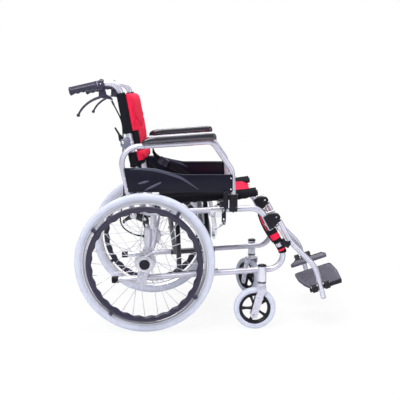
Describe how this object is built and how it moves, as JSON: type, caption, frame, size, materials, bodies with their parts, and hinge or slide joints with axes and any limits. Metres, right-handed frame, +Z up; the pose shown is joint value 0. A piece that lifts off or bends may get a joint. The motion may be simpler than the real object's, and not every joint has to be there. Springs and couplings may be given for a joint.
{
  "type": "folding wheelchair",
  "caption": "Folding attendant wheelchair on spoked rear wheels with hand rings, with sling seat, folding back, flip-back armrests and swing-away footrests.",
  "frame": {"origin": "on the floor, in the middle of the chair's footprint", "axes": "+X the way the sitter faces, +Y to the sitter's left, +Z up"},
  "size_m": [1.0022, 0.67, 0.9119],
  "materials": {
    "silver_paint": "satin",
    "pale_rubber": "matte",
    "polished_rim": "satin",
    "black_plastic": "satin",
    "violet_plastic": "satin",
    "black_paint": "satin",
    "arm_pad": "soft satin",
    "guard_plastic": "satin",
    "tread_plastic": "matte",
    "red_cloth": "woven",
    "black_cloth": "woven",
    "bright_steel": "polished",
    "cable_jacket": "matte"
  },
  "bodies": {
    "right_frame": {"side_frame_right": "silver_paint", "armrest_pivot_plate_right": "black_paint", "armrest_socket_right": "black_plastic", "hanger_bracket_right": "black_plastic", "brake_cable_right": "cable_jacket", "back_upholstery_lower": "red_cloth", "calf_strap": "red_cloth", "lap_belt": "black_cloth"},
    "back_right": {"upper_cane_right": "silver_paint", "handle_grip_right": "violet_plastic", "brake_clamp_right": "violet_plastic", "back_upholstery_upper": "red_cloth"},
    "fold_release_right": {"fold_release_lever_right": "black_plastic"},
    "hand_lever_right": {"brake_lever_right": "violet_plastic"},
    "wheel_right": {"rear_wheel_right": "polished_rim", "rear_tyre_right": "pale_rubber", "pushrim_right": "violet_plastic"},
    "caster_right": {"caster_fork_right": "silver_paint"},
    "caster_roller_right": {"caster_wheel_right": "black_plastic", "caster_tyre_right": "pale_rubber"},
    "armrest_right": {"armrest_frame_right": "silver_paint", "armrest_pad_right": "arm_pad", "skirt_guard_right": "guard_plastic"},
    "button_right": {"armrest_button_right": "bright_steel"},
    "shoe_right": {"parking_brake_shoe_right": "bright_steel"},
    "parking_right": {"parking_brake_lever_right": "black_plastic"},
    "link_right": {"parking_brake_link_right": "bright_steel"},
    "hanger_right": {"hanger_tube_right": "silver_paint"},
    "hanger_release_right": {"hanger_release_lever_right": "bright_steel"},
    "foot_right": {"footplate_right": "tread_plastic"},
    "left_frame": {"side_frame_left": "silver_paint", "armrest_pivot_plate_left": "black_paint", "armrest_socket_left": "black_plastic", "hanger_bracket_left": "black_plastic", "brake_cable_left": "cable_jacket", "belt_buckle": "violet_plastic"},
    "back_left": {"upper_cane_left": "silver_paint", "handle_grip_left": "violet_plastic", "brake_clamp_left": "violet_plastic"},
    "fold_release_left": {"fold_release_lever_left": "black_plastic"},
    "hand_lever_left": {"brake_lever_left": "violet_plastic"},
    "wheel_left": {"rear_wheel_left": "polished_rim", "rear_tyre_left": "pale_rubber", "pushrim_left": "violet_plastic"},
    "caster_left": {"caster_fork_left": "silver_paint"},
    "caster_roller_left": {"caster_wheel_left": "black_plastic", "caster_tyre_left": "pale_rubber"},
    "armrest_left": {"armrest_frame_left": "silver_paint", "armrest_pad_left": "arm_pad", "skirt_guard_left": "guard_plastic"},
    "button_left": {"armrest_button_left": "bright_steel"},
    "shoe_left": {"parking_brake_shoe_left": "bright_steel"},
    "parking_left": {"parking_brake_lever_left": "black_plastic"},
    "link_left": {"parking_brake_link_left": "bright_steel"},
    "hanger_left": {"hanger_tube_left": "silver_paint"},
    "hanger_release_left": {"hanger_release_lever_left": "bright_steel"},
    "foot_left": {"footplate_left": "tread_plastic"},
    "brace_a": {"brace_arm_a": "black_paint"},
    "brace_b": {"brace_arm_b": "black_paint", "seat_sling": "red_cloth"}
  },
  "joints": [
    {"name": "frame_fold", "type": "hinge", "parent": "right_frame", "child": "brace_a", "pos_m": [-0.23021, -0.21413, 0.1865], "axis": [0.9977, 0, 0.068], "range_deg": [0, 45], "deforming": ["seat_sling", "back_upholstery_upper", "back_upholstery_lower", "calf_strap", "lap_belt"]},
    {"name": "brace_cross", "type": "hinge", "parent": "brace_a", "child": "brace_b", "pos_m": [-0.23975, -0.00903, 0.32643], "axis": [0.9977, 0, 0.068], "range_deg": [-90, 0]},
    {"name": "left_frame_fold", "type": "hinge", "parent": "brace_b", "child": "left_frame", "pos_m": [-0.23021, 0.19607, 0.1865], "axis": [0.9977, 0, 0.068], "range_deg": [0, 45]},
    {"name": "back_fold_right", "type": "hinge", "parent": "right_frame", "child": "back_right", "pos_m": [-0.30788, -0.23703, 0.68554], "axis": [0, -1, 0], "range_deg": [0, 95], "deforming": ["brake_cable_right"]},
    {"name": "fold_release_right", "type": "hinge", "parent": "back_right", "child": "fold_release_right", "pos_m": [-0.30788, -0.23703, 0.68554], "axis": [0, -1, 0], "range_deg": [0, 12], "stiffness_Nm_per_rad": 0.5, "springref_deg": -6.88},
    {"name": "hand_brake_right", "type": "hinge", "parent": "back_right", "child": "hand_lever_right", "pos_m": [-0.38021, -0.23703, 0.852], "axis": [0, 1, 0], "range_deg": [0, 18], "stiffness_Nm_per_rad": 0.8, "springref_deg": -6.88},
    {"name": "rear_wheel_spin_right", "type": "hinge", "parent": "right_frame", "child": "wheel_right", "pos_m": [-0.23021, -0.29703, 0.254], "axis": [0, 1, 0], "continuous": true},
    {"name": "caster_swivel_right", "type": "hinge", "parent": "right_frame", "child": "caster_right", "pos_m": [0.19679, -0.26203, 0.173], "axis": [0, 0, 1], "continuous": true},
    {"name": "caster_spin_right", "type": "hinge", "parent": "caster_right", "child": "caster_roller_right", "pos_m": [0.17079, -0.26203, 0.077], "axis": [0, 1, 0], "continuous": true},
    {"name": "armrest_flip_right", "type": "hinge", "parent": "right_frame", "child": "armrest_right", "pos_m": [-0.27221, -0.26373, 0.423], "axis": [0, -1, 0], "range_deg": [0, 92]},
    {"name": "armrest_button_right", "type": "slide", "parent": "armrest_right", "child": "button_right", "axis": [-1, 0, 0], "range_m": [0, 0.0022], "stiffness_N_per_m": 300, "springref_m": -0.002},
    {"name": "parking_brake_right", "type": "hinge", "parent": "right_frame", "child": "parking_right", "pos_m": [0.05549, -0.23703, 0.4065], "axis": [0, 1, 0], "range_deg": [0, 19.5]},
    {"name": "brake_link_right", "type": "hinge", "parent": "parking_right", "child": "link_right", "pos_m": [0.05549, -0.23703, 0.3925], "axis": [0, 1, 0], "range_deg": [-22, 0]},
    {"name": "brake_shoe_right", "type": "hinge", "parent": "right_frame", "child": "shoe_right", "pos_m": [0.01679, -0.23703, 0.424], "axis": [0, 1, 0], "range_deg": [0, 5.2]},
    {"name": "hanger_swing_right", "type": "hinge", "parent": "right_frame", "child": "hanger_right", "pos_m": [0.2511, -0.23703, 0.3848], "axis": [0.4756, 0, -0.8796], "range_deg": [0, 90]},
    {"name": "hanger_release_right", "type": "hinge", "parent": "right_frame", "child": "hanger_release_right", "pos_m": [0.21823, -0.23703, 0.42773], "axis": [0, 1, 0], "range_deg": [0, 8], "stiffness_Nm_per_rad": 0.3, "springref_deg": -5.73},
    {"name": "footplate_flip_right", "type": "hinge", "parent": "hanger_right", "child": "foot_right", "pos_m": [0.4152, -0.23703, 0.158], "axis": [0.9483, 0, 0.3173], "range_deg": [0, 80]},
    {"name": "back_fold_left", "type": "hinge", "parent": "left_frame", "child": "back_left", "pos_m": [-0.30788, 0.21897, 0.68554], "axis": [0, -1, 0], "range_deg": [0, 95], "deforming": ["brake_cable_left"]},
    {"name": "fold_release_left", "type": "hinge", "parent": "back_left", "child": "fold_release_left", "pos_m": [-0.30788, 0.21897, 0.68554], "axis": [0, -1, 0], "range_deg": [0, 12], "stiffness_Nm_per_rad": 0.5, "springref_deg": -6.88},
    {"name": "hand_brake_left", "type": "hinge", "parent": "back_left", "child": "hand_lever_left", "pos_m": [-0.38021, 0.21897, 0.852], "axis": [0, 1, 0], "range_deg": [0, 18], "stiffness_Nm_per_rad": 0.8, "springref_deg": -6.88},
    {"name": "rear_wheel_spin_left", "type": "hinge", "parent": "left_frame", "child": "wheel_left", "pos_m": [-0.23021, 0.27897, 0.254], "axis": [0, 1, 0], "continuous": true},
    {"name": "caster_swivel_left", "type": "hinge", "parent": "left_frame", "child": "caster_left", "pos_m": [0.19679, 0.24397, 0.173], "axis": [0, 0, 1], "continuous": true},
    {"name": "caster_spin_left", "type": "hinge", "parent": "caster_left", "child": "caster_roller_left", "pos_m": [0.18301, 0.26602, 0.077], "axis": [0.848, 0.5299, 0], "continuous": true},
    {"name": "armrest_flip_left", "type": "hinge", "parent": "left_frame", "child": "armrest_left", "pos_m": [-0.27221, 0.24567, 0.423], "axis": [0, -1, 0], "range_deg": [0, 92]},
    {"name": "armrest_button_left", "type": "slide", "parent": "armrest_left", "child": "button_left", "axis": [-1, 0, 0], "range_m": [0, 0.0022], "stiffness_N_per_m": 300, "springref_m": -0.002},
    {"name": "parking_brake_left", "type": "hinge", "parent": "left_frame", "child": "parking_left", "pos_m": [0.05549, 0.21897, 0.4065], "axis": [0, 1, 0], "range_deg": [0, 19.5]},
    {"name": "brake_link_left", "type": "hinge", "parent": "parking_left", "child": "link_left", "pos_m": [0.05549, 0.21897, 0.3925], "axis": [0, 1, 0], "range_deg": [-22, 0]},
    {"name": "brake_shoe_left", "type": "hinge", "parent": "left_frame", "child": "shoe_left", "pos_m": [0.01679, 0.21897, 0.424], "axis": [0, 1, 0], "range_deg": [0, 5.2]},
    {"name": "hanger_swing_left", "type": "hinge", "parent": "left_frame", "child": "hanger_left", "pos_m": [0.2511, 0.21897, 0.3848], "axis": [-0.4756, 0, 0.8796], "range_deg": [0, 90]},
    {"name": "hanger_release_left", "type": "hinge", "parent": "left_frame", "child": "hanger_release_left", "pos_m": [0.21823, 0.21897, 0.42773], "axis": [0, 1, 0], "range_deg": [0, 8], "stiffness_Nm_per_rad": 0.3, "springref_deg": -5.73},
    {"name": "footplate_flip_left", "type": "hinge", "parent": "hanger_left", "child": "foot_left", "pos_m": [0.41076, 0.21897, 0.174], "axis": [-0.9483, 0, -0.3173], "range_deg": [0, 80]}
  ],
  "couplings": [
    {"joint": "brace_cross", "follows": "frame_fold", "ratio": -2},
    {"joint": "left_frame_fold", "follows": "frame_fold", "ratio": 1},
    {"joint": "brake_link_right", "follows": "parking_brake_right", "ratio": -1.107},
    {"joint": "brake_shoe_right", "follows": "parking_brake_right", "ratio": 0.26},
    {"joint": "footplate_flip_right", "follows": "frame_fold", "ratio": 1.7778},
    {"joint": "brake_link_left", "follows": "parking_brake_left", "ratio": -1.107},
    {"joint": "brake_shoe_left", "follows": "parking_brake_left", "ratio": 0.26},
    {"joint": "footplate_flip_left", "follows": "frame_fold", "ratio": 1.7778},
    {"joint": "back_fold_left", "follows": "back_fold_right", "ratio": 1}
  ]
}
